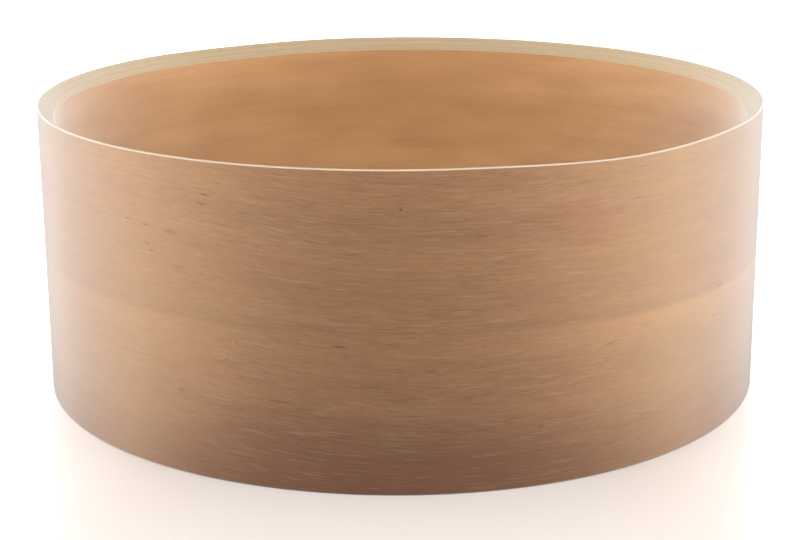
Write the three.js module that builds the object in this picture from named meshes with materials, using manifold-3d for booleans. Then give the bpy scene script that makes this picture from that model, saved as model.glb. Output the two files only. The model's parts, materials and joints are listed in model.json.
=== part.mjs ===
// A bare 14 x 5.5 inch snare drum shell in raw, sanded wood.
// It is a laminate of ten veneer plies, each one sheet bent round until its two ends
// meet in a butt seam. Both rims carry a bearing edge, and a pair of shallow snare beds
// dips the upper rim, so the shell stands on its batter side with its snare side up.
// Nothing is drilled or fitted yet.
//
// Millimetres, +Z up. The origin is the centre of the circle that the shell stands on.
// Angles go round the shell in degrees from the front (-Y) towards the right (+X).
import * as THREE from "three";
import { mergeVertices } from "three/addons/utils/BufferGeometryUtils.js";
import Module from "manifold-3d";

const wasm = await Module();
wasm.setup();

// The whole shell.
const SHELL_DIAMETER = 352.4; // outside, 13 7/8 inches, so that a 14 inch head drops over
const SHELL_HEIGHT = 140.5; // from peak to peak of the two bearing edges

// The laminate, from the outside in.
const FACE_PLY_THICKNESS = 0.5; // the show veneer, outside and inside
const CORE_PLY_THICKNESS = 0.75;
const CORE_PLY_COUNT = 8;
const GLUE_LINE = 0.05;
const SEAM_WIDTH = 0.3; // left open between the two ends of a ply
const FIRST_SEAM_ANGLE = 180; // the outer ply's seam is at the back
const SEAM_STAGGER_ANGLE = 140; // from each ply's seam to the next, so that no two line up

// The bearing edges, which are alike at the top and the bottom.
const BACK_CUT_WIDTH = 0.55; // across the narrow bevel on the outside of the peak
const BACK_CUT_ANGLE = 45;
const PEAK_WIDTH = 0.45; // the flat sanded along the peak, where the head or the bench touches
const BEVEL_ANGLE = 45; // the wide bevel, from the peak down to the inside of the wall

// The snare beds, a matching pair across the shell, each a smooth dip in the upper rim.
const BED_ANGLE = 34;
const BED_LENGTH = 154; // along the rim, from where the dip starts to where it ends
const STRAINER_BED_DEPTH = 1.35;
const BUTT_BED_DEPTH = 0.45; // the far one is far shallower

// How the curved pieces are drawn.
const RIM_STEPS = 120;
const CUT_OVERRUN = 1; // how far a cutter passes a face that it goes through

const OUTER_RADIUS = SHELL_DIAMETER / 2;
const PEAK_OUTER_RADIUS = OUTER_RADIUS - BACK_CUT_WIDTH;
const PEAK_INNER_RADIUS = PEAK_OUTER_RADIUS - PEAK_WIDTH;

const OUTER_VENEER = { color: "#c49a70", roughness: 0.62, metalness: 0 };
const LONG_GRAIN_VENEER = { color: "#d9b88f", roughness: 0.7, metalness: 0 };
const CROSS_GRAIN_VENEER = { color: "#c9a77e", roughness: 0.72, metalness: 0 };
const INNER_VENEER = { color: "#bd8a5c", roughness: 0.66, metalness: 0 };

function tangent(degrees) {
  return Math.tan(THREE.MathUtils.degToRad(degrees));
}

// How far the bearing edge lies below its own peak at a distance from the shell's axis.
function edgeDrop(radius) {
  if (radius > PEAK_OUTER_RADIUS) {
    return (radius - PEAK_OUTER_RADIUS) * tangent(BACK_CUT_ANGLE);
  }
  if (radius < PEAK_INNER_RADIUS) {
    return (PEAK_INNER_RADIUS - radius) * tangent(BEVEL_ANGLE);
  }
  return 0;
}

// A dip of cosine form: deepest at its middle, and level with the rim at both ends.
function dip(angle, middleAngle, depth) {
  const turn = THREE.MathUtils.euclideanModulo(angle - middleAngle + 180, 360) - 180;
  const alongRim = Math.abs(THREE.MathUtils.degToRad(turn)) * OUTER_RADIUS;
  const share = Math.min(alongRim / (BED_LENGTH / 2), 1);
  return (depth * (1 + Math.cos(Math.PI * share))) / 2;
}

// How far the snare beds lower the upper rim at an angle round the shell.
function bedDrop(angle) {
  const strainerSide = dip(angle, BED_ANGLE, STRAINER_BED_DEPTH);
  const buttSide = dip(angle, BED_ANGLE + 180, BUTT_BED_DEPTH);
  return strainerSide + buttSide;
}

// The wall's section within one ply, as a closed outline: up the outside, over the
// upper bearing edge, down the inside and back under the lower edge.
function plySection(outerRadius, innerRadius) {
  const corners = [PEAK_OUTER_RADIUS, PEAK_INNER_RADIUS].filter(
    (radius) => radius < outerRadius && radius > innerRadius,
  );
  const across = [outerRadius, ...corners, innerRadius];
  const upper = across.map((radius) => {
    return new THREE.Vector2(radius, SHELL_HEIGHT - edgeDrop(radius));
  });
  const lower = across.map((radius) => new THREE.Vector2(radius, edgeDrop(radius)));
  const outline = [...upper, ...lower.reverse()];
  return [...outline, outline[0].clone()];
}

// A whole ring of one ply, turned about the axis and lowered along its upper rim
// where the snare beds are.
function plyRing(outerRadius, innerRadius) {
  const ring = new THREE.LatheGeometry(plySection(outerRadius, innerRadius), RIM_STEPS);
  ring.rotateX(Math.PI / 2);
  const points = ring.getAttribute("position");
  for (let i = 0; i < points.count; i += 1) {
    if (points.getZ(i) > SHELL_HEIGHT / 2) {
      const angle = THREE.MathUtils.radToDeg(Math.atan2(points.getX(i), -points.getY(i)));
      points.setZ(i, points.getZ(i) - bedDrop(angle));
    }
  }
  return ring;
}

// A thin upright blade that opens a ply's seam right through its thickness.
function seamCutter(outerRadius, innerRadius, angle) {
  const depth = outerRadius - innerRadius + 2 * CUT_OVERRUN;
  const height = SHELL_HEIGHT + 2 * CUT_OVERRUN;
  const blade = new THREE.BoxGeometry(SEAM_WIDTH, depth, height);
  blade.translate(0, -(outerRadius + innerRadius) / 2, SHELL_HEIGHT / 2);
  blade.rotateZ(THREE.MathUtils.degToRad(angle));
  return blade;
}

function solidOf(geometry) {
  const bare = geometry.clone();
  bare.deleteAttribute("normal");
  bare.deleteAttribute("uv");
  const merged = mergeVertices(bare);
  return new wasm.Manifold(
    new wasm.Mesh({
      numProp: 3,
      vertProperties: merged.getAttribute("position").array,
      triVerts: new Uint32Array(merged.getIndex().array),
    }),
  );
}

function geometryOf(solid) {
  const { vertProperties, triVerts } = solid.getMesh();
  const shared = new THREE.BufferGeometry();
  shared.setAttribute("position", new THREE.BufferAttribute(vertProperties, 3));
  shared.setIndex(new THREE.BufferAttribute(triVerts, 1));
  const faceted = shared.toNonIndexed();
  faceted.computeVertexNormals();
  return faceted;
}

// One ply: a ring of veneer, bevelled with its share of both bearing edges, and open
// at its seam.
function veneerPly(name, finish, outerRadius, thickness, seamAngle) {
  const innerRadius = outerRadius - thickness;
  const ring = solidOf(plyRing(outerRadius, innerRadius));
  const blade = solidOf(seamCutter(outerRadius, innerRadius, seamAngle));
  const ply = new THREE.Mesh(
    geometryOf(ring.subtract(blade)),
    new THREE.MeshStandardMaterial(finish),
  );
  ply.name = name;
  return ply;
}

// One ply of the core. The grain turns from ply to ply, and the lay-up is the same
// counted from either face, so the wall stays round as it dries. The face plies' grain
// runs round the shell, so the plies next to them have theirs upright.
function corePly(i) {
  const fromNearerFace = Math.min(i, CORE_PLY_COUNT - 1 - i);
  const isUpright = fromNearerFace % 2 === 0;
  const place = i + 2; // counted through the wall, with the outer face ply as 1
  return {
    name: isUpright ? `cross_grain_ply_${place}` : `long_grain_ply_${place}`,
    finish: isUpright ? CROSS_GRAIN_VENEER : LONG_GRAIN_VENEER,
    thickness: CORE_PLY_THICKNESS,
  };
}

// The plies in the order in which they lie in the wall, from the outside in.
function plySchedule() {
  return [
    { name: "outer_face_ply", finish: OUTER_VENEER, thickness: FACE_PLY_THICKNESS },
    ...Array.from({ length: CORE_PLY_COUNT }, (_, i) => corePly(i)),
    { name: "inner_face_ply", finish: INNER_VENEER, thickness: FACE_PLY_THICKNESS },
  ];
}

function drumShell() {
  const shell = new THREE.Group();
  shell.name = "drum_shell";
  let outerRadius = OUTER_RADIUS;
  plySchedule().forEach(({ name, finish, thickness }, i) => {
    const seamAngle = FIRST_SEAM_ANGLE + i * SEAM_STAGGER_ANGLE;
    shell.add(veneerPly(name, finish, outerRadius, thickness, seamAngle));
    outerRadius -= thickness + GLUE_LINE;
  });
  return shell;
}

export default drumShell();
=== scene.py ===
# %% [markdown]
# A raw snare drum shell, dressed for its portrait.
#
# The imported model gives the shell's ten veneer plies at their real size. Each is a
# faceted ring there, so this lesson bends a smooth one over it, gives the wood its
# grain, and lights the whole as a small product photograph. Blender works in metres,
# with +Z up, -Y towards the viewer and +X to the viewer's right.

# %% Load the frame
import json
import math

import bpy
import numpy as np
from mathutils import Euler, Matrix, Vector


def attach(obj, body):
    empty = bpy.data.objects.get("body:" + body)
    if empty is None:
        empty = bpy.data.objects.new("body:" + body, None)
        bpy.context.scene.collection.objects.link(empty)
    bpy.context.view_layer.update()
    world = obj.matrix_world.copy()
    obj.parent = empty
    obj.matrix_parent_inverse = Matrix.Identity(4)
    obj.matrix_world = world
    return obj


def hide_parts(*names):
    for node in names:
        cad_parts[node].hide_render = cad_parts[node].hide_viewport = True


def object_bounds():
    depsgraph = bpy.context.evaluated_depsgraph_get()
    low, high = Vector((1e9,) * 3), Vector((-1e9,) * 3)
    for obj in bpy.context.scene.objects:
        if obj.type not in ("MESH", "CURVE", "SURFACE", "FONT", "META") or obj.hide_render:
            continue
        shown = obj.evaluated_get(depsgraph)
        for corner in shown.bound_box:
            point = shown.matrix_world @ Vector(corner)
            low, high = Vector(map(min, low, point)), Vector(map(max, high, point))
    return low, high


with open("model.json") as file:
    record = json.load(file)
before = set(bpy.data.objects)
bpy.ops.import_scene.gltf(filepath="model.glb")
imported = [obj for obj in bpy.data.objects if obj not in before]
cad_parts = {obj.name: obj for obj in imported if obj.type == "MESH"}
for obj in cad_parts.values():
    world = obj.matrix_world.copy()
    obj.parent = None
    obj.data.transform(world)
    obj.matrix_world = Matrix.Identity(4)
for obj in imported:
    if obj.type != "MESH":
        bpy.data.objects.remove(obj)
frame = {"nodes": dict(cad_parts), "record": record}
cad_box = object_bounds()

MM = 0.001
print("plies in the frame:", sorted(frame["nodes"]))

# %% [markdown]
# The camera comes first, because everything else is judged through it. A photograph
# holds enough clues to put the camera back where it stood: the rim and the base are
# circles of known size, and how far each is squashed gives the height and the distance.
# The lens is a short telephoto, a little above the rim, and the camera leans by a third
# of a degree.

# %% Camera
CAMERA_DISTANCE = 883.9 * MM
CAMERA_HEIGHT = 301.0 * MM
LOOKING_DOWN = math.radians(15.94)
LOOKING_RIGHT = math.radians(-0.037)
LEANING = math.radians(-0.355)
FOCAL_LENGTH_MM = 81.55
SENSOR_WIDTH_MM = 36.0


def add_camera():
    data = bpy.data.cameras.new("portrait_camera")
    data.sensor_fit = "HORIZONTAL"
    data.sensor_width = SENSOR_WIDTH_MM
    data.lens = FOCAL_LENGTH_MM
    camera = bpy.data.objects.new("portrait_camera", data)
    bpy.context.scene.collection.objects.link(camera)
    aim = Euler((math.pi / 2 - LOOKING_DOWN, 0.0, -LOOKING_RIGHT)).to_matrix()
    turned = aim @ Matrix.Rotation(LEANING, 3, "Z")
    stand = Matrix.Translation((0, -CAMERA_DISTANCE, CAMERA_HEIGHT))
    camera.matrix_world = stand @ turned.to_4x4()
    bpy.context.scene.camera = camera


add_camera()
print("camera:", FOCAL_LENGTH_MM, "mm lens,", CAMERA_DISTANCE, "m back,", CAMERA_HEIGHT, "m up")

# %% [markdown]
# Two small helpers serve the whole lesson. One adds a node to a tree, sets its
# properties and its inputs, and links whatever node or socket it is given. The other
# turns a colour as a designer writes it, in sRGB hex, into the linear values that
# shaders use.

# %% Helpers
MATH = "ShaderNodeMath"


def add(tree, kind, inputs=(), **settings):
    """Adds a node. inputs maps a socket's name or number to a value, a socket or a node."""
    node = tree.nodes.new(kind)
    for name, value in settings.items():
        setattr(node, name, value)
    for name, value in dict(inputs).items():
        source = value.outputs[0] if isinstance(value, bpy.types.Node) else value
        if isinstance(source, bpy.types.NodeSocket):
            tree.links.new(source, node.inputs[name])
        else:
            node.inputs[name].default_value = source
    return node


def linear(code):
    """The linear red, green, blue and alpha of a colour such as #c8a060."""
    channels = [int(code[i : i + 2], 16) / 255 for i in (1, 3, 5)]
    return tuple(c / 12.92 if c <= 0.04045 else ((c + 0.055) / 1.055) ** 2.4 for c in channels) + (1.0,)


print("white is", linear("#ffffff"))

# %% [markdown]
# A ply is a flat sheet of veneer that a press bends round until its ends meet. The
# nodes will do the same: they start from a plain box and bend it into a ring. First
# every ply is measured on the frame, so that the smooth ring lies exactly where the
# faceted one does.

# %% Measure the plies
def ply_radii(node):
    """The outside and inside radius of a ring, in metres."""
    points = np.array([v.co[:] for v in frame["nodes"][node].data.vertices])
    distance = np.hypot(points[:, 0], points[:, 1])
    middle = (distance.max() + distance.min()) / 2
    return float(distance.max()), float(np.median(distance[distance < middle]))


PLIES = sorted(frame["nodes"], key=lambda node: -ply_radii(node)[0])
SHELL_RADIUS = ply_radii(PLIES[0])[0]
SHELL_HEIGHT = cad_box[1][2] - cad_box[0][2]
for node in PLIES:
    print(node, [round(radius / MM, 3) for radius in ply_radii(node)])

# %% [markdown]
# Both rims carry a bearing edge: a narrow back-cut outside, a flat peak that the head
# rests on, and a wide 45 degree bevel inside. Two snare beds dip the upper rim. A ply's
# seam is glued shut on the real shell, so here it is drawn as a hairline, far narrower
# than the frame's.

# %% Sizes of the edges and seams
BACK_CUT = 0.55 * MM
PEAK = 0.45 * MM
SANDING = 0.25 * MM  # how far a corner is eased by hand
BED_ANGLE = math.radians(34)
BED_LENGTH = 154 * MM
STRAINER_BED_DEPTH = 1.35 * MM
BUTT_BED_DEPTH = 0.45 * MM
FIRST_SEAM = math.radians(180)
SEAM_STAGGER = math.radians(140)
SEAM_WIDTH = 0.12 * MM
STEPS_ROUND = 480
STEPS_THROUGH = 6
print("the beds are", BED_LENGTH / MM, "mm long, and each ply has", STEPS_ROUND, "steps round")

# %% [markdown]
# Two parts of the rim's shape are worked out by a few nodes each. A snare bed is a dip
# of cosine form, deepest at its own angle. The edge is the larger of two slopes that
# fall away from the peak, and a smooth maximum eases the corners as sandpaper does. A
# profile drawn by hand would do for the edge alone, but not for a rim whose height
# changes on its way round.

# %% Nodes for the rim's shape
def bed_drop(tree, given, angle, middle, depth):
    """How far one snare bed lowers the rim at an angle."""
    turned = add(tree, MATH, {0: angle, 1: middle}, operation="SUBTRACT")
    turn = add(tree, MATH, {0: turned, 1: math.pi, 2: -math.pi}, operation="WRAP")
    away = add(tree, MATH, {0: turn}, operation="ABSOLUTE")
    along = add(tree, MATH, {0: away, 1: given["Shell Radius"]}, operation="MULTIPLY")
    half_length = add(tree, MATH, {0: given["Bed Length"], 1: 0.5}, operation="MULTIPLY")
    swing = add(tree, "ShaderNodeMapRange", {"Value": along, "From Max": half_length, "To Max": math.pi})
    wave = add(tree, MATH, {0: swing}, operation="COSINE")
    share = add(tree, MATH, {0: wave, 1: 0.5, 2: 0.5}, operation="MULTIPLY_ADD")
    return add(tree, MATH, {0: share, 1: depth}, operation="MULTIPLY")


def edge_drop(tree, given, radius):
    """How far the bearing edge lies below its peak at a radius."""
    peak_outside = add(tree, MATH, {0: given["Shell Radius"], 1: given["Back Cut"]}, operation="SUBTRACT")
    peak_inside = add(tree, MATH, {0: peak_outside, 1: given["Peak"]}, operation="SUBTRACT")
    back_cut = add(tree, MATH, {0: radius, 1: peak_outside}, operation="SUBTRACT")
    bevel = add(tree, MATH, {0: peak_inside, 1: radius}, operation="SUBTRACT")
    slopes = add(tree, MATH, {0: back_cut, 1: bevel}, operation="MAXIMUM")
    return add(tree, MATH, {0: slopes, 1: 0.0, 2: given["Sanding"]}, operation="SMOOTH_MAX")


print("the edge falls", BACK_CUT / MM, "mm outside its peak")

# %% [markdown]
# All ten plies follow one rule and differ only in a few sizes, so one Geometry Nodes
# tree makes them all. Its inputs are the sizes that a shell maker would give, and the
# two finishes: one for the faces of the veneer and one for its cut edges.

# %% Inputs of the ply tree
PLY_INPUTS = {
    "Outer Radius": "NodeSocketFloat",
    "Thickness": "NodeSocketFloat",
    "Shell Radius": "NodeSocketFloat",
    "Shell Height": "NodeSocketFloat",
    "Back Cut": "NodeSocketFloat",
    "Peak": "NodeSocketFloat",
    "Sanding": "NodeSocketFloat",
    "Seam Angle": "NodeSocketFloat",
    "Seam Width": "NodeSocketFloat",
    "Bed Angle": "NodeSocketFloat",
    "Bed Length": "NodeSocketFloat",
    "Strainer Bed": "NodeSocketFloat",
    "Butt Bed": "NodeSocketFloat",
    "Steps Round": "NodeSocketInt",
    "Steps Through": "NodeSocketInt",
    "Face Veneer": "NodeSocketMaterial",
    "Cut Edge": "NodeSocketMaterial",
}
print("a ply is set by", len(PLY_INPUTS), "inputs")

# %% [markdown]
# The sheet starts as a box, one unit long, wide and high, and cut into steps. So each
# of its points has three shares: along the sheet, through its thickness and up its
# height. Along becomes an angle round the shell, and up becomes a height between the
# lower and the upper bearing edge. A ready-made cylinder has neither a seam nor an
# inside, and it can't tell where on the flat sheet a point came from.

# %% From a box to a bent sheet
def flat_sheet(tree, given):
    """A unit box cut into steps, and the three shares of each of its points."""
    round_points = add(tree, MATH, {0: given["Steps Round"], 1: 1}, operation="ADD")
    through_points = add(tree, MATH, {0: given["Steps Through"], 1: 1}, operation="ADD")
    counts = {"Vertices X": round_points, "Vertices Y": through_points, "Vertices Z": 3}
    box = add(tree, "GeometryNodeMeshCube", {"Size": (1.0, 1.0, 1.0), **counts})
    place = add(tree, "ShaderNodeSeparateXYZ", {0: add(tree, "GeometryNodeInputPosition")})
    shares = [add(tree, MATH, {0: axis, 1: 0.5}, operation="ADD") for axis in place.outputs]
    return box, shares


def sheet_angle(tree, given, along):
    """The angle round the shell of a share of the sheet's length, and the turn from its middle."""
    seam = add(tree, MATH, {0: given["Seam Width"], 1: given["Outer Radius"]}, operation="DIVIDE")
    sweep = add(tree, MATH, {0: 2 * math.pi, 1: seam}, operation="SUBTRACT")
    from_middle = add(tree, MATH, {0: along, 1: 0.5}, operation="SUBTRACT")
    turn = add(tree, MATH, {0: from_middle, 1: sweep}, operation="MULTIPLY")
    middle = add(tree, MATH, {0: given["Seam Angle"], 1: math.pi}, operation="ADD")
    return add(tree, MATH, {0: turn, 1: middle}, operation="ADD"), turn


def sheet_height(tree, given, up, radius, angle):
    """The height of a share of the ply's height, between its two bearing edges."""
    far_angle = add(tree, MATH, {0: given["Bed Angle"], 1: math.pi}, operation="ADD")
    near_bed = bed_drop(tree, given, angle, given["Bed Angle"], given["Strainer Bed"])
    far_bed = bed_drop(tree, given, angle, far_angle, given["Butt Bed"])
    beds = add(tree, MATH, {0: near_bed, 1: far_bed}, operation="ADD")
    lower = edge_drop(tree, given, radius)
    both = add(tree, MATH, {0: lower, 1: beds}, operation="ADD")
    upper = add(tree, MATH, {0: given["Shell Height"], 1: both}, operation="SUBTRACT")
    tall = add(tree, MATH, {0: upper, 1: lower}, operation="SUBTRACT")
    return add(tree, MATH, {0: up, 1: tall, 2: lower}, operation="MULTIPLY_ADD")


print("a sheet is bent along", round(2 * math.pi * SHELL_RADIUS, 3), "m")

# %% [markdown]
# Veneer is smooth round the shell and crisp where the router cut it. So the folds that
# are sharper than a set angle keep a hard edge, and the rest is shaded smooth. The
# faces that look up or down belong to a rim, and they get the finish of a cut edge.

# %% Folds and finishes
CRISP_FOLD = math.radians(30)  # a fold sharper than this keeps its hard edge
LEVEL_ENOUGH = 0.3  # a face whose normal points this far up or down belongs to a rim


def dress_ply(tree, given, geometry):
    """Hard edges where the ply folds sharply, and its two finishes: the faces' and the rims'."""
    fold = add(tree, "GeometryNodeInputMeshEdgeAngle")
    sharp = add(tree, MATH, {0: fold, 1: CRISP_FOLD}, operation="GREATER_THAN")
    choice = {"Geometry": geometry, "Selection": sharp, "Shade Smooth": False}
    crisp = add(tree, "GeometryNodeSetShadeSmooth", choice, domain="EDGE")
    whole = add(tree, "GeometryNodeRealizeInstances", {"Geometry": crisp})
    faced = add(tree, "GeometryNodeSetMaterial", {"Geometry": whole, "Material": given["Face Veneer"]})
    facing = add(tree, "ShaderNodeSeparateXYZ", {0: add(tree, "GeometryNodeInputNormal")})
    level = add(tree, MATH, {0: facing.outputs["Z"]}, operation="ABSOLUTE")
    on_rim = add(tree, MATH, {0: level, 1: LEVEL_ENOUGH}, operation="GREATER_THAN")
    choice = {"Geometry": faced, "Selection": on_rim, "Material": given["Cut Edge"]}
    return add(tree, "GeometryNodeSetMaterial", choice)


print("folds over", round(math.degrees(CRISP_FOLD)), "degrees stay crisp")

# %% [markdown]
# Now the tree is put together. Before the sheet is bent, each point keeps its place on
# the flat veneer as an attribute, because wood grain is drawn on the flat sheet and
# bends with it. The length on that sheet is measured from its middle, which for the
# outer ply is the front of the shell.

# %% The ply tree
SHEET = "sheet"  # the attribute with a point's place on the flat veneer, in metres


def build_ply_tree():
    tree = bpy.data.node_groups.new("bend_a_veneer_ply", "GeometryNodeTree")
    for name, kind in PLY_INPUTS.items():
        tree.interface.new_socket(name, in_out="INPUT", socket_type=kind)
    tree.interface.new_socket("Ply", in_out="OUTPUT", socket_type="NodeSocketGeometry")
    given = add(tree, "NodeGroupInput").outputs

    box, (along, through, up) = flat_sheet(tree, given)
    inward = add(tree, MATH, {0: through, 1: given["Thickness"]}, operation="MULTIPLY")
    radius = add(tree, MATH, {0: given["Outer Radius"], 1: inward}, operation="SUBTRACT")
    angle, turn = sheet_angle(tree, given, along)
    height = sheet_height(tree, given, up, radius, angle)

    depth = add(tree, MATH, {0: given["Shell Radius"], 1: radius}, operation="SUBTRACT")
    flat_length = add(tree, MATH, {0: turn, 1: given["Shell Radius"]}, operation="MULTIPLY")
    flat_place = add(tree, "ShaderNodeCombineXYZ", {0: flat_length, 1: depth, 2: height})
    kept = {"Geometry": box.outputs["Mesh"], "Name": SHEET, "Value": flat_place}
    kind = {"data_type": "FLOAT_VECTOR", "domain": "POINT"}
    marked = add(tree, "GeometryNodeStoreNamedAttribute", kept, **kind)

    sine = add(tree, MATH, {0: angle}, operation="SINE")
    cosine = add(tree, MATH, {0: angle}, operation="COSINE")
    across = add(tree, MATH, {0: radius, 1: sine}, operation="MULTIPLY")
    back = add(tree, MATH, {0: radius, 1: cosine}, operation="MULTIPLY")
    forward = add(tree, MATH, {0: back, 1: -1.0}, operation="MULTIPLY")
    bent_place = add(tree, "ShaderNodeCombineXYZ", {0: across, 1: forward, 2: height})
    bent = add(tree, "GeometryNodeSetPosition", {"Geometry": marked, "Position": bent_place})
    add(tree, "NodeGroupOutput", {0: dress_ply(tree, given, bent)})
    return tree


ply_tree = build_ply_tree()
print("the ply tree has", len(ply_tree.nodes), "nodes")

# %% [markdown]
# All the wood here is one raw, fine-grained veneer, sanded and left bare. What the eye
# sees on it has sizes of its own: broad bands where the knife met another growth ring,
# streaks a few centimetres long, and fibres about half a millimetre wide. Each is a
# noise stretched along the grain to its real size, and a sum of them sets the tone
# between a dark and a pale wood colour. A photograph of wood wrapped round the shell
# would show its own light and repeat itself, and a noise does neither.

# %% Noise as grain
SEED_STEP = (7.3, 3.1, 5.7)  # how far apart in the noise two patterns are read


def new_material(name):
    material = bpy.data.materials.new(name)
    material.use_nodes = True
    material.node_tree.nodes.clear()
    return material, material.node_tree


def grain(tree, place, length, height, seed, detail=1.0):
    """Noise whose features are so many millimetres long and high on the flat sheet."""
    steps = (1 / (length * MM), 1 / (height * MM), 1 / (height * MM))
    start = tuple(seed * step for step in SEED_STEP)
    stretched = add(tree, "ShaderNodeMapping", {"Vector": place, "Location": start, "Scale": steps})
    return add(tree, "ShaderNodeTexNoise", {"Vector": stretched, "Scale": 1.0, "Detail": detail})


print("grain is measured on the attribute", SHEET)

# %% [markdown]
# One pattern alone looks like a test card. Several, each weak and each of its own size,
# look like wood. So the patterns of a sheet stand together in a small table, which one
# helper draws and another sums. A third lets the grain rise and fall, by shifting the
# place at which the patterns are read. The last lays colours over each other, by which
# the sum of the patterns turns dark wood into pale.

# %% Sums of grain
def draw_grain(tree, place, table):
    """Draws a table's patterns. Gives them by name, and each with its weight in the tone."""
    drawn = {}
    weighted = []
    for name, (length, height, seed, detail, weight) in table.items():
        drawn[name] = grain(tree, place, length, height, seed, detail)
        weighted.append((drawn[name], weight))
    return drawn, weighted


def weigh(tree, parts, middle=0.5):
    """Sums patterns round a middle value. Each comes with its weight and swings round 0.5."""
    total = middle - 0.5 * sum(weight for _, weight in parts)
    for pattern, weight in parts:
        total = add(tree, MATH, {0: pattern, 1: weight, 2: total}, operation="MULTIPLY_ADD")
    return total


def drifting(tree, place, drift):
    """The place on the sheet, with its height shifted, so that the grain rises or falls."""
    shift = add(tree, "ShaderNodeCombineXYZ", {2: drift})
    return add(tree, "ShaderNodeVectorMath", {0: place, 1: shift}, operation="ADD")


def lay_over(tree, colour, layers):
    """Lays colours over a first one. Each comes with its share, from 0 to 1."""
    for share, code in layers:
        layer = {0: share, 6: colour, 7: linear(code)}  # 6 and 7 are the two colours to mix
        colour = add(tree, "ShaderNodeMix", layer, data_type="RGBA").outputs[2]
    return colour


print("a sheet's tone swings round 0.5, from dark wood at 0 to pale wood at 1")

# %% [markdown]
# Bare wood has next to no gloss of its own. Seen straight on it is matt, but where the
# wall turns away it goes milky, for two reasons. The sanded ends of its fibres stand up
# like the nap of felt and catch the light, which is what sheen gives. And the fibres
# that the paper rubbed flat act as one thin, even skin that mirrors the white studio at
# grazing angles, which is what a coat gives. Solid wood has an index of refraction of
# about 1.5, but a loose nap is half air, so the body under that skin has far less.

# %% How bare wood takes the light
NAP_IOR = 1.15
NAP_SHEEN = {"Sheen Weight": 1.0, "Sheen Roughness": 0.55, "Sheen Tint": linear("#ffffff")}
SKIN_WEIGHT = 0.8  # the share of the surface that is rubbed flat


def new_wood(name):
    """A new material and its tree, and the place on the flat sheet to draw it by."""
    material, tree = new_material(name)
    return material, tree, add(tree, "ShaderNodeAttribute", attribute_name=SHEET).outputs["Vector"]


def leave_bare(tree, colour, patterns, roughness, relief, skin_roughness):
    """Ends a wood's tree: its colour and raised fibres, under the nap and the rubbed skin.

    roughness is a middle value, and how far each pattern swings it.
    """
    middle, swings = roughness
    swinging = [(patterns[name], swing) for name, swing in swings.items()]
    bump = add(tree, "ShaderNodeBump", {"Height": patterns["fibres"], **relief})
    body = {"Base Color": colour, "Normal": bump, "IOR": NAP_IOR}
    body["Roughness"] = weigh(tree, swinging, middle)
    skin = {"Coat Weight": SKIN_WEIGHT, "Coat Roughness": skin_roughness}
    shader = add(tree, "ShaderNodeBsdfPrincipled", {**body, **NAP_SHEEN, **skin})
    add(tree, "ShaderNodeOutputMaterial", {"Surface": shader})


print("bare wood's index of refraction:", NAP_IOR)

# %% [markdown]
# A few flaws give the outer sheet its character: short dark flecks where the knife
# crossed a pore, a pin knot, a fine scratch. A noise could scatter them, but on the
# real sheet they have their places, so they are placed one by one, in millimetres round
# the shell from the front and up from the table. A scratch is paler than the wood, so
# its darkness is below zero.

# %% Flaws in the outer sheet
# round the shell, height, length and width in millimetres, tilt in degrees, darkness
FLECKS = [
    (-84, 126, 7.0, 1.0, 6, 0.30),
    (-86, 122, 6.0, 1.1, 8, 0.26),
    (-67, 120, 4.5, 0.8, 6, 0.16),
    (-128, 110, 5.0, 0.9, 4, 0.24),
    (-117, 109, 5.0, 0.9, 5, 0.34),
    (-103, 108, 9.0, 2.6, 4, 0.12),
    (-116, 101, 5.5, 1.0, 4, 0.28),
    (-114, 98, 4.5, 0.9, 4, 0.22),
    (-86, 95, 4.0, 0.7, 3, 0.15),
    (-83, 89.5, 4.0, 0.7, 3, 0.15),
    (-150, 109, 4.0, 0.8, 4, 0.18),
    (10, 130, 4.0, 0.6, 2, 0.16),
    (33, 112, 6.0, 0.7, 2, 0.16),
    (54, 105.5, 6.0, 0.7, 1, 0.14),
    (46, 81.5, 7.0, 0.6, 1, 0.16),
    (-54, 66.5, 16.0, 0.6, 2, 0.26),
    (-25.5, 65.5, 8.5, 0.9, 2, 0.62),
    (-76, 55.5, 2.2, 0.9, 3, 0.34),
    (12, 55.3, 6.0, 0.6, 2, 0.34),
    (-11, 48.5, 6.0, 0.5, 1, 0.20),
    (-100, 38, 5.0, 0.9, 3, 0.32),
    (-144, 34, 4.0, 0.8, 3, 0.20),
    (-52, 39.5, 14.0, 1.4, 2, 0.22),
    (-40, 37, 10.0, 0.8, 2, 0.24),
    (3, 35.5, 22.0, 0.6, 0, 0.26),
    (34, 28, 7.0, 0.6, 0, 0.24),
    (60, 27, 4.0, 0.8, -1, 0.34),
    (167, 70, 6.0, 1.0, -3, 0.44),
    (163, 57, 4.5, 0.9, -3, 0.38),
    (113, 64, 9.0, 0.7, -2, 0.20),
    (93, 59, 7.0, 0.8, -2, 0.30),
    (91, 53, 6.0, 0.7, -2, 0.20),
    (154, 87, 5.0, 0.8, -3, 0.20),
    (155, 111, 3.0, 0.8, -3, 0.26),
]
PIN_KNOT = (0, 124, 1.6, 1.3, 0, 0.95)
SCRATCHES = [
    (-73, 63, 0.9, 3.2, 12, -0.55),
    (-49, 113.5, 7.0, 0.5, 6, -0.22),
    (12, 41, 14.0, 0.4, 1, -0.18),
]
print("flaws placed by hand:", len(FLECKS) + 1 + len(SCRATCHES))

# %% [markdown]
# Each flaw is a small soft-edged ellipse. A Mapping node of texture kind turns the place
# on the sheet into a place on the flaw, where its rim lies one unit from its middle, so
# the distance from the middle says how dark the wood is there.

# %% Drawing the flaws
FLAW_CORE = 0.3  # the share of a flaw, from its middle out, that is fully dark
FLAW_STRENGTH = 1.5  # lifts them all alike, because nap and skin veil part of each
ANY_DEPTH = 1.0  # so wide through the sheet that depth doesn't count


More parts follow.
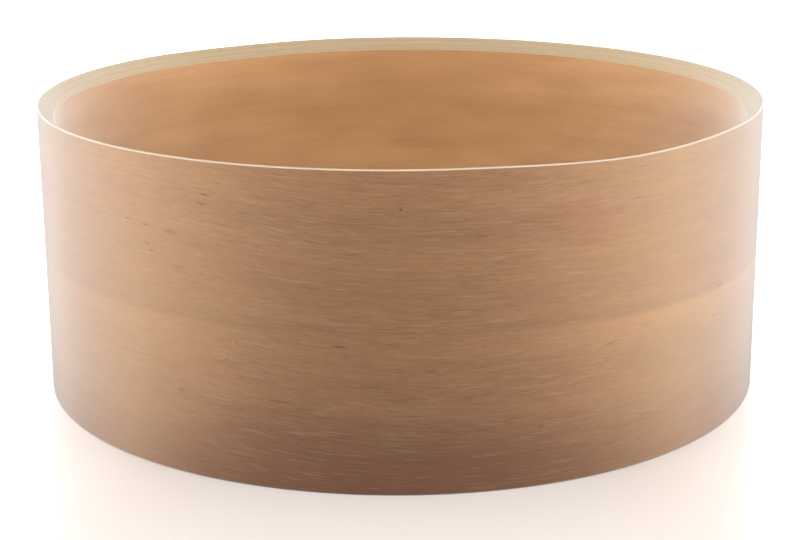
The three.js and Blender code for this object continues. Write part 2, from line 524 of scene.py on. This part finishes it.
def flaw(tree, place, around, height, length, width, tilt):
    """One small flaw: 1 in its middle, and fading to 0 at its rim."""
    middle = (around * MM, 0.0, height * MM)
    half_sizes = (length / 2 * MM, ANY_DEPTH, width / 2 * MM)
    turn = (0.0, math.radians(tilt), 0.0)
    where = {"Vector": place, "Location": middle, "Rotation": turn, "Scale": half_sizes}
    spot = add(tree, "ShaderNodeMapping", where, vector_type="TEXTURE")
    reach = add(tree, "ShaderNodeVectorMath", {0: spot}, operation="LENGTH").outputs["Value"]
    fade = {"Value": reach, "From Min": FLAW_CORE, "From Max": 1.0, "To Min": 1.0, "To Max": 0.0}
    return add(tree, "ShaderNodeMapRange", fade)


def flaws(tree, place):
    """All the flaws together, as how much each takes from the tone."""
    total = 0.0
    for around, height, length, width, tilt, darkness in [*FLECKS, PIN_KNOT, *SCRATCHES]:
        one = flaw(tree, place, around, height, length, width, tilt)
        taken = {0: one, 1: FLAW_STRENGTH * darkness, 2: total}
        total = add(tree, MATH, taken, operation="MULTIPLY_ADD")
    return total


print("the longest flaw is", max(length for _, _, length, *_ in FLECKS), "mm long")

# %% [markdown]
# The outer face is the show side. Its grain runs round the shell, but no tree grows
# quite straight: left of the middle the grain falls by 8 millimetres, and it sways as
# it goes. So the place on the sheet is shifted before any pattern is drawn. The helper
# that eases the fall serves all that comes and goes slowly on this sheet.

# %% How the outer grain lies
GRAIN_FALL = 8 * MM
FALL_STRETCH = (-130, 20)  # round the shell from the front, in millimetres
GRAIN_SWAY = 5 * MM
SWAY_WAVES = (210, 70, 9)  # length and height in millimetres, and seed


def between(tree, value, start, end, low, high):
    """Eases from low to high while a value in metres passes a stretch in millimetres."""
    stretch = {"Value": value, "From Min": start * MM, "From Max": end * MM}
    ends = {"To Min": low, "To Max": high}
    return add(tree, "ShaderNodeMapRange", {**stretch, **ends}, interpolation_type="SMOOTHSTEP")


def lie_of_grain(tree, sheet, around):
    """The place on the sheet, shifted as its grain falls and sways."""
    fall = between(tree, around, *FALL_STRETCH, 0.0, GRAIN_FALL)
    wander = grain(tree, sheet, *SWAY_WAVES)
    shift = add(tree, MATH, {0: wander, 1: GRAIN_SWAY, 2: fall}, operation="MULTIPLY_ADD")
    return drifting(tree, sheet, shift)


print("the outer grain falls by", GRAIN_FALL / MM, "mm and sways by", GRAIN_SWAY / MM, "mm")

# %% [markdown]
# Sanded veneer is a sum of patterns, from bands a quarter of a metre long to a silk of
# fine fibres. On top lie marks that are there or not: pale hairs, dark hairs and the
# dark mouths of pores. Those are the peaks of a pattern alone. Real fibres and pores
# are less than a tenth of a millimetre wide, too fine for the picture, so the finest
# ones here are about half a millimetre wide, as coarse as they need to be to show.

# %% Patterns of the outer veneer
# length and height in millimetres, seed, detail, and weight in the tone
OUTER_GRAIN = {
    "bands": (260, 8, 1, 1.0, 0.32),
    "patches": (34, 9, 2, 1.0, 0.18),
    "streaks": (30, 1.8, 3, 2.0, 0.16),
    "fibres": (9, 0.55, 4, 2.0, 0.36),
    "silk": (4, 0.42, 8, 1.0, 0.30),
}
# length and height in millimetres, seed, where its peaks start and are full, and the
# tone that they add
OUTER_MARKS = {
    "pale hairs": (14, 0.5, 15, 0.60, 0.68, 0.08),
    "dark hairs": (11, 0.5, 16, 0.61, 0.69, -0.16),
    "dark pores": (5.5, 0.55, 5, 0.70, 0.78, -0.22),
}


def outer_patterns(tree, place):
    """How far the grain swings the tone, and its patterns by name."""
    patterns, weighted = draw_grain(tree, place, OUTER_GRAIN)
    swing = weigh(tree, weighted, middle=0.0)
    for name, (length, height, seed, start, full, strength) in OUTER_MARKS.items():
        peaks = {"Value": grain(tree, place, length, height, seed), "From Min": start, "From Max": full}
        patterns[name] = add(tree, "ShaderNodeMapRange", peaks)
        swing = add(tree, MATH, {0: patterns[name], 1: strength, 2: swing}, operation="MULTIPLY_ADD")
    return swing, patterns


print("outer veneer:", len(OUTER_GRAIN), "patterns and", len(OUTER_MARKS), "kinds of mark")

# %% [markdown]
# Half way down, light is painted into the sheet along one straight line round the
# shell, where the light on the wall changes: a faint darker line, and below it a paler
# band that fades out downwards and shows most on the right. Each is the product of two
# ramps of the height, one for its upper and one for its lower border.

# %% Painted light band
# painted light, not grain: a paler band under a darker line, half way up the wall
LIGHT_BAND_HEIGHT = 70.5 * MM
LIGHT_BAND_SWAY = 4 * MM
LIGHT_BAND_WAVES = (160, 160, 6)  # length and height in millimetres, and seed
# start and end above the ring, in millimetres, and the value at either end
BAND_TOP = (0, 3.5, 1.0, 0.0)
BAND_LOW = (-20, 0, 0.0, 0.2)
LINE_TOP = (2, 7, 1.0, 0.0)
LINE_LOW = (0, 3, 0.0, 0.07)
BAND_SHOWS = (-40, 110, 0.4, 1.0)  # the same round the shell, from left to right


def painted_light_band(tree, sheet, around, up):
    """What the painted light band adds to the tone: a paler band under a darker line."""
    above = add(tree, MATH, {0: up, 1: LIGHT_BAND_HEIGHT}, operation="SUBTRACT")
    wander = grain(tree, sheet, *LIGHT_BAND_WAVES)
    place = add(tree, MATH, {0: wander, 1: LIGHT_BAND_SWAY, 2: above}, operation="MULTIPLY_ADD")
    band_top = between(tree, place, *BAND_TOP)
    band_low = between(tree, place, *BAND_LOW)
    band = add(tree, MATH, {0: band_top, 1: band_low}, operation="MULTIPLY")
    band = add(tree, MATH, {0: band, 1: between(tree, around, *BAND_SHOWS)}, operation="MULTIPLY")
    line_top = between(tree, place, *LINE_TOP)
    line_low = between(tree, place, *LINE_LOW)
    line = add(tree, MATH, {0: line_top, 1: line_low}, operation="MULTIPLY")
    return add(tree, MATH, {0: band, 1: line}, operation="SUBTRACT")


print("the painted light band lies", LIGHT_BAND_HEIGHT / MM, "mm up")

# %% [markdown]
# The sheet isn't of one tone from end to end. It is livelier and redder in the middle
# of the front, and calmer and more golden at its shoulders. Light and shade are painted
# into the tone too: the shoulders a little paler, as painted light, and the outermost
# flanks and the foot darker, as painted shade. All of this is drawn by the distance
# round the shell from the front and by the height, so it stays on the wood from any side.

# %% Painted light and shade of the outer veneer
# start and end of a stretch in millimetres, and the value before and after it
LIVELINESS = (30, 140, 1.3, 0.55)  # how far the grain swings the tone
# painted light and shade: the shoulders are painted paler, the flanks and the foot darker, the foot most
# in the middle of the front
FOOT_SHADE_MIDDLE = (60, 150, 1.0, 0.4)  # how much of the foot's shade shows
PAINTED_SHOULDER_LIGHT = (40, 95, 0.0, 0.14)  # tone added
PAINTED_FLANK_SHADE = (120, 180, 0.0, -0.32)  # tone added
PAINTED_FOOT_SHADE = (0, 60, -0.5, 0.0)  # tone added, by height
FOOT_SHADE_BROWNING = (0, 32, 0.6, 0.0)  # share of deep brown, by height
GOLDEN_TURN = (40, 130, -0.25, 0.2)  # hue added, from ruddy to golden


def painted_broad_shade(tree, aside, up, middle):
    """Painted light and shade: what the paler shoulders, the darker flanks and the darker foot add to the
    tone.
    """
    foot = add(tree, MATH, {0: between(tree, up, *PAINTED_FOOT_SHADE), 1: middle}, operation="MULTIPLY")
    shoulder_light = between(tree, aside, *PAINTED_SHOULDER_LIGHT)
    flank_shade = between(tree, aside, *PAINTED_FLANK_SHADE)
    sides = add(tree, MATH, {0: shoulder_light, 1: flank_shade}, operation="ADD")
    return add(tree, MATH, {0: foot, 1: sides}, operation="ADD")


print("the foot is darker up to", PAINTED_FOOT_SHADE[1], "mm")

# %% [markdown]
# The tone picks a colour between a dark and a pale one, twice over: once in a ruddy
# pair and once in a golden pair. Soft blotches choose between the two. Then three thin
# layers go on: deep brown at the foot as painted shade, cream on the raised hairs, and
# a dull brown where a flaw has stained the wood.

# %% Colours of the outer veneer
RUDDY_DARK = "#a46635"
RUDDY_PALE = "#efaa6c"
GOLDEN_DARK = "#a26b36"
GOLDEN_PALE = "#edb16d"
# painted shade: the deep brown laid over the foot
FOOT_SHADE_BROWN = "#9a5404"
HAIR_CREAM = "#ecd8c0"
STAIN_BROWN = "#6b4f2e"
BLOTCHES = (70, 30, 7)  # length and height in millimetres, and seed
RUDDY_UP_TO = 0.2
GOLDEN_FROM = 0.8


def outer_hue(tree, place, tone, aside):
    """The wood's colour at a tone, ruddy in some places and golden in others."""
    ruddy = lay_over(tree, linear(RUDDY_DARK), [(tone, RUDDY_PALE)])
    golden = lay_over(tree, linear(GOLDEN_DARK), [(tone, GOLDEN_PALE)])
    turn = between(tree, aside, *GOLDEN_TURN)
    blotches = add(tree, MATH, {0: grain(tree, place, *BLOTCHES), 1: turn}, operation="ADD")
    stretch = {"Value": blotches, "From Min": RUDDY_UP_TO, "From Max": GOLDEN_FROM}
    choice = add(tree, "ShaderNodeMapRange", stretch)
    return add(tree, "ShaderNodeMix", {0: choice, 6: ruddy, 7: golden}, data_type="RGBA").outputs[2]


print("the outer veneer runs from", RUDDY_DARK, "to", GOLDEN_PALE)

# %% [markdown]
# Raw sanded veneer, then, gives the eye a warm tan that swings with the grain, matt in
# the middle and milky where it turns away. Its roughness follows the fibres and the
# streaks, and its relief the fibres alone.

# %% Outer veneer
HAIR_SHARE = 0.12
STAIN_SHARE = 0.6
OUTER_ROUGHNESS = (0.44, {"fibres": 0.30, "streaks": 0.15})
OUTER_RELIEF = {"Strength": 0.5, "Distance": 0.06 * MM}
FACE_SKIN_ROUGHNESS = 0.3


def outer_veneer_material():
    material, tree, sheet = new_wood("raw sanded veneer, outside")
    axes = add(tree, "ShaderNodeSeparateXYZ", {0: sheet}).outputs
    around, up = axes["X"], axes["Z"]
    aside = add(tree, MATH, {0: around}, operation="ABSOLUTE")
    middle = between(tree, aside, *FOOT_SHADE_MIDDLE)
    liveliness = between(tree, aside, *LIVELINESS)
    place = lie_of_grain(tree, sheet, around)
    swing, patterns = outer_patterns(tree, place)

    tone = add(tree, MATH, {0: swing, 1: liveliness, 2: 0.5}, operation="MULTIPLY_ADD")
    # painted light and shade join the tone here: the band half way up, the paler shoulders, the darker
    # flanks and foot
    for shade in (painted_light_band(tree, sheet, around, up), painted_broad_shade(tree, aside, up, middle)):
        tone = add(tree, MATH, {0: tone, 1: shade}, operation="ADD")
    flawed = flaws(tree, sheet)
    tone = add(tree, MATH, {0: tone, 1: flawed}, operation="SUBTRACT", use_clamp=True)

    # painted shade: deep brown over the foot, strongest in the middle of the front
    foot_shade_browning = add(tree, MATH, {0: between(tree, up, *FOOT_SHADE_BROWNING), 1: middle}, operation="MULTIPLY")
    hairs = add(tree, MATH, {0: patterns["pale hairs"], 1: liveliness}, operation="MULTIPLY")
    hairs = add(tree, MATH, {0: hairs, 1: HAIR_SHARE}, operation="MULTIPLY")
    stained = add(tree, MATH, {0: flawed, 1: STAIN_SHARE}, operation="MULTIPLY", use_clamp=True)
    layers = [(foot_shade_browning, FOOT_SHADE_BROWN), (hairs, HAIR_CREAM), (stained, STAIN_BROWN)]
    colour = lay_over(tree, outer_hue(tree, place, tone, aside), layers)
    leave_bare(tree, colour, patterns, OUTER_ROUGHNESS, OUTER_RELIEF, FACE_SKIN_ROUGHNESS)
    return material


outer_veneer = outer_veneer_material()
print(outer_veneer.name, "has", len(outer_veneer.node_tree.nodes), "nodes")

# %% [markdown]
# The inner face is a plainer sheet of the same wood, warmer and cloudier: broad soft
# blotches with a few long pale streaks, and a finer relief than outside. The same
# tools draw it, with other sizes and no marks. The faces between the plies get it too,
# though only their hairline seams could ever show it.

# %% Inner veneer
# length and height in millimetres, seed, detail, and weight in the tone
INNER_GRAIN = {
    "clouds": (42, 13, 11, 1.0, 0.9),
    "bands": (120, 7, 12, 1.0, 0.5),
    "streaks": (30, 1.8, 13, 2.0, 0.34),
    "fibres": (10, 0.7, 14, 1.0, 0.34),
}
INNER_SWAY = 14 * MM
INNER_WAVES = (180, 60, 19)  # length and height in millimetres, and seed
INNER_DARK = "#c89059"
INNER_PALE = "#e9b67c"
INNER_ROUGHNESS = (0.5, {"fibres": 0.25, "streaks": 0.15})
FINER_RELIEF = {"Strength": 0.4, "Distance": 0.05 * MM}


def inner_veneer_material():
    material, tree, sheet = new_wood("raw veneer, inside")
    wander = grain(tree, sheet, *INNER_WAVES)
    sway = add(tree, MATH, {0: wander, 1: INNER_SWAY}, operation="MULTIPLY")
    place = drifting(tree, sheet, sway)
    patterns, weighted = draw_grain(tree, place, INNER_GRAIN)
    colour = lay_over(tree, linear(INNER_DARK), [(weigh(tree, weighted), INNER_PALE)])
    leave_bare(tree, colour, patterns, INNER_ROUGHNESS, FINER_RELIEF, FACE_SKIN_ROUGHNESS)
    return material


inner_veneer = inner_veneer_material()
print(inner_veneer.name, "has", len(inner_veneer.node_tree.nodes), "nodes")

# %% [markdown]
# The router and the sanding board cut through all ten plies, so the bearing edge shows
# them as fine rings. Where a ply's grain runs round the shell, the cut shows pale long
# fibres. Where its grain stands upright, the cut shows end grain, a little darker and
# full of tiny pores. The narrow back-cut is painted the palest of all, a painted
# highlight along the rim where it catches the light. The thin dark line between two
# plies is the glue line, which the frame leaves as a gap.

# %% Cut edges
CUT_ROUGHNESS = (0.5, {"fibres": 0.2})
CUT_SKIN_ROUGHNESS = 0.25  # a cut edge is sanded finer than a face


def cut_edge_material(name, dark, pale, fibre_length, fibre_width, seed):
    material, tree, sheet = new_wood(name)
    # length and height in millimetres, seed, detail, and weight in the tone
    cut_grain = {
        "clouds": (40, 6, seed, 1.0, 0.5),
        "fibres": (fibre_length, fibre_width, seed + 1, 2.0, 0.9),
    }
    patterns, weighted = draw_grain(tree, sheet, cut_grain)
    colour = lay_over(tree, linear(dark), [(weigh(tree, weighted), pale)])
    leave_bare(tree, colour, patterns, CUT_ROUGHNESS, FINER_RELIEF, CUT_SKIN_ROUGHNESS)
    return material


# name, dark and pale colour, length and width of the fibres in millimetres, seed
long_grain_cut = cut_edge_material("cut edge, grain round the shell", "#ac9268", "#c6ad82", 9, 0.5, 31)
end_grain_cut = cut_edge_material("cut edge, end grain", "#a68b60", "#c1a67a", 0.8, 0.5, 41)
# painted highlight: the back-cut is painted paler than the other cut edges
back_cut_highlight = cut_edge_material("back-cut, painted highlight", "#c9b294", "#e0ccb0", 6, 0.5, 51)
for cut in (long_grain_cut, end_grain_cut, back_cut_highlight):
    print(cut.name, "has", len(cut.node_tree.nodes), "nodes")

# %% [markdown]
# Now the press closes. Each ply gets a blank object with the tree on it, all its sizes
# are set by the sockets' identifiers, and the evaluated result becomes a plain mesh
# that takes the place of the frame's ring.

# %% Press one ply
def input_id(tree, name):
    """The identifier of a tree's input, which a modifier knows it by."""
    sockets = [item for item in tree.interface.items_tree if item.in_out == "INPUT"]
    return next(socket.identifier for socket in sockets if socket.name == name)


def ply_sizes(order, node, face, edge):
    """The tree's inputs for one ply, counted from the outside in."""
    outer, inner = ply_radii(node)
    return {
        "Outer Radius": outer,
        "Thickness": outer - inner,
        "Shell Radius": SHELL_RADIUS,
        "Shell Height": SHELL_HEIGHT,
        "Back Cut": BACK_CUT,
        "Peak": PEAK,
        "Sanding": SANDING,
        "Seam Angle": FIRST_SEAM + order * SEAM_STAGGER,
        "Seam Width": SEAM_WIDTH,
        "Bed Angle": BED_ANGLE,
        "Bed Length": BED_LENGTH,
        "Strainer Bed": STRAINER_BED_DEPTH,
        "Butt Bed": BUTT_BED_DEPTH,
        "Steps Round": STEPS_ROUND,
        "Steps Through": STEPS_THROUGH,
        "Face Veneer": face,
        "Cut Edge": edge,
    }


def bend_ply(order, node, face, edge):
    blank = bpy.data.objects.new(node + "_blank", bpy.data.meshes.new(node + "_blank"))
    bpy.context.scene.collection.objects.link(blank)
    press = blank.modifiers.new("press", "NODES")
    press.node_group = ply_tree
    for name, value in ply_sizes(order, node, face, edge).items():
        press[input_id(ply_tree, name)] = value
    bpy.context.view_layer.update()
    pressed = blank.evaluated_get(bpy.context.evaluated_depsgraph_get())
    shaped = bpy.data.meshes.new_from_object(pressed)
    bpy.data.objects.remove(blank)
    ply = bpy.data.objects.new(node + "_veneer", shaped)
    bpy.context.scene.collection.objects.link(ply)
    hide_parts(node)
    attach(ply, "root")
    return ply


print("the press reads its sizes from sockets such as", input_id(ply_tree, "Outer Radius"))

# %% [markdown]
# The record says which veneer each ply is cut from, and that picks its two finishes.
# The outermost ply lies wholly outside the peak, so its cut edges are the back-cut, and
# they get the palest finish, which paints the highlight along the rim.

# %% Bend all ten plies
SLOTS = {row["node"]: row["material_slot"] for row in frame["record"]["subparts"]}
# each veneer's finish on its faces and on its cut edges
FINISHES = {
    # the outer ply's back-cut gets the pale finish that paints the rim's highlight
    "outer_veneer": (outer_veneer, back_cut_highlight),
    "long_grain_veneer": (inner_veneer, long_grain_cut),
    "cross_grain_veneer": (inner_veneer, end_grain_cut),
    "inner_veneer": (inner_veneer, long_grain_cut),
}
for order, node in enumerate(PLIES):
    ply = bend_ply(order, node, *FINISHES[SLOTS[node]])
    print(ply.name, "has", len(ply.data.polygons), "faces")

# %% [markdown]
# The shell stands on a glossy white table, which mirrors it faintly and takes a warm
# glow from the wood. Part of that warmth in front of the shell is painted: the table's
# own colour is a cream white, which shows only where the even glow below is left out.
# A real white table lights the wall from below. Here it throws little light back
# outside the shell, so that the wall darkens towards its foot, and half of it inside,
# where the light is caught between the walls.
#
# To the camera and in mirrors the open table is as white as the studio round it, which
# an even glow gives without lighting the shell. In front of the shell, where its
# reflection lies, an oval is left almost free of that glow.

# %% Table
# in metres
TABLE_REACH = 6.0
WALL_INSIDE = 0.15
WALL_OUTSIDE = 0.17
OVAL_MIDDLE = 0.25  # how far in front of the shell's middle
OVAL_STARTS = 0.20
OVAL_ENDS = 0.65
OVAL_SQUEEZE = 2.0  # how much shorter it is from left to right than from front to back

# a cream white, which paints part of the warm tint in front of the shell
TABLE_WHITE = "#ece3dc"
BOUNCE_OUTSIDE = 0.02
BOUNCE_INSIDE = 0.5
GLOW_IN_OVAL = 0.12
GLOW_IN_OPEN = 1.0


def table_colour(tree, place, looked_at):
    """White where it is looked at. For the light it bounces, greyer outside the shell."""
    away = add(tree, "ShaderNodeVectorMath", {0: place}, operation="LENGTH").outputs["Value"]
    wall = {"Value": away, "From Min": WALL_INSIDE, "From Max": WALL_OUTSIDE}
    bounce = {"To Min": BOUNCE_INSIDE, "To Max": BOUNCE_OUTSIDE}
    grey = add(tree, "ShaderNodeMapRange", {**wall, **bounce})
    ends = {0: looked_at, 6: grey, 7: linear(TABLE_WHITE)}
    return add(tree, "ShaderNodeMix", ends, data_type="RGBA").outputs[2]


def table_glow(tree, place, looked_at):
    """The even glow of the open table, where it is looked at."""
    shape = {"Location": (0.0, OVAL_MIDDLE, 0.0), "Scale": (OVAL_SQUEEZE, 1.0, 1.0)}
    oval = add(tree, "ShaderNodeMapping", {"Vector": place, **shape})
    beside = add(tree, "ShaderNodeVectorMath", {0: oval}, operation="LENGTH").outputs["Value"]
    border = {"Value": beside, "From Min": OVAL_STARTS, "From Max": OVAL_ENDS}
    ends = {"To Min": GLOW_IN_OVAL, "To Max": GLOW_IN_OPEN}
    glow = add(tree, "ShaderNodeMapRange", {**border, **ends}, interpolation_type="SMOOTHSTEP")
    return add(tree, MATH, {0: looked_at, 1: glow}, operation="MULTIPLY")


print("the table's glow is full from", OVAL_ENDS, "m out")

# %% [markdown]
# The table top itself is one square. White lacquer polished to a gloss gives it a clear
# but weak mirror image, with the usual index of a lacquer and little roughness.

# %% Table top
LACQUER_ROUGHNESS = 0.1
LACQUER_IOR = 1.5


def table_top_material():
    material, tree = new_material("glossy white table top")
    ray = add(tree, "ShaderNodeLightPath").outputs
    looked_at = add(tree, MATH, {0: ray["Is Camera Ray"], 1: ray["Is Glossy Ray"]}, operation="MAXIMUM")
    place = add(tree, "ShaderNodeTexCoord").outputs["Object"]
    colour = table_colour(tree, place, looked_at)
    glow = table_glow(tree, place, looked_at)
    lacquer = {"Base Color": colour, "Roughness": LACQUER_ROUGHNESS, "IOR": LACQUER_IOR}
    lit = {"Emission Color": linear("#ffffff"), "Emission Strength": glow}
    shader = add(tree, "ShaderNodeBsdfPrincipled", {**lacquer, **lit})
    add(tree, "ShaderNodeOutputMaterial", {"Surface": shader})
    return material


def add_table():
    near, far = -TABLE_REACH, TABLE_REACH
    corners = [(near, near, 0), (far, near, 0), (far, far, 0), (near, far, 0)]
    mesh = bpy.data.meshes.new("table")
    mesh.from_pydata(corners, [], [(0, 1, 2, 3)])
    mesh.materials.append(table_top_material())
    table = bpy.data.objects.new("table", mesh)
    bpy.context.scene.collection.objects.link(table)


add_table()
print("table:", 2 * TABLE_REACH, "m across")

# %% [markdown]
# The studio is plain: white all round for the camera and for reflections, which is what
# the wood's thin skin mirrors at its sides, and a low even light for the rest.

# %% World
WORLD_LEVEL = 0.04  # the light it gives, where the white that is seen has 1


def add_world(level):
    world = bpy.data.worlds.new("white studio")
    bpy.context.scene.world = world
    world.use_nodes = True
    tree = world.node_tree
    tree.nodes.clear()
    ray = add(tree, "ShaderNodeLightPath").outputs
    reflected, refracted = ray["Is Glossy Ray"], ray["Is Transmission Ray"]
    mirrored = add(tree, MATH, {0: reflected, 1: refracted}, operation="MAXIMUM")
    seen = add(tree, MATH, {0: ray["Is Camera Ray"], 1: mirrored}, operation="MAXIMUM")
    strength = add(tree, "ShaderNodeMix", {0: seen, 2: level, 3: 1.0}, data_type="FLOAT")
    light = add(tree, "ShaderNodeBackground", {"Color": linear("#ffffff"), "Strength": strength})
    add(tree, "ShaderNodeOutputWorld", {"Surface": light})


add_world(WORLD_LEVEL)
print("world level:", WORLD_LEVEL)

# %% [markdown]
# Nine soft boxes do the lighting. Two hang overhead, for the rim and the inside. Six
# stand low to the left and right, beside, in front of and behind the shell, so that the
# wall is brightest where it turns away and calm in the middle. A weak strip in front
# lifts the upper part of the wall a little. None of them shows or is mirrored: bare
# wood has no highlights, and one would make it look lacquered.

# %% Lamps
# name, place, size and watts
SOFT_BOXES = [
    ("overhead", (0.0, 0.0, 1.4), (1.0, 1.0), 9.5),
    ("overhead_back", (0.0, 0.9, 1.3), (1.2, 0.8), 8),
    ("front_strip", (0.0, -0.27, 0.45), (0.5, 0.08), 1.07),
    ("left", (-1.4, 0.0, 0.24), (1.2, 0.48), 12),
    ("right", (1.4, 0.0, 0.24), (1.2, 0.48), 11),
    ("left_front", (-1.33, -0.43, 0.16), (1.2, 0.3), 3),
    ("right_front", (1.33, -0.43, 0.16), (1.2, 0.3), 5),
    ("left_back", (-1.2, 0.7, 0.16), (1.2, 0.3), 8),
    ("right_back", (1.2, 0.7, 0.16), (1.2, 0.3), 5.5),
]
LAMP_TARGET = (0.0, 0.0, 0.1)


def add_lamp(name, place, size, watts):
    data = bpy.data.lights.new(name + "_softbox", "AREA")
    data.shape = "RECTANGLE"
    data.size, data.size_y = size
    data.energy = watts
    lamp = bpy.data.objects.new(name + "_softbox", data)
    bpy.context.scene.collection.objects.link(lamp)
    lamp.visible_camera = False
    lamp.visible_glossy = False
    lamp.location = place
    lamp.rotation_euler = (lamp.location - Vector(LAMP_TARGET)).to_track_quat("Z", "Y").to_euler()


for name, place, size, watts in SOFT_BOXES:
    add_lamp(name, place, size, watts)
bpy.context.scene.view_settings.view_transform = "Standard"
print("soft boxes:", len(SOFT_BOXES))
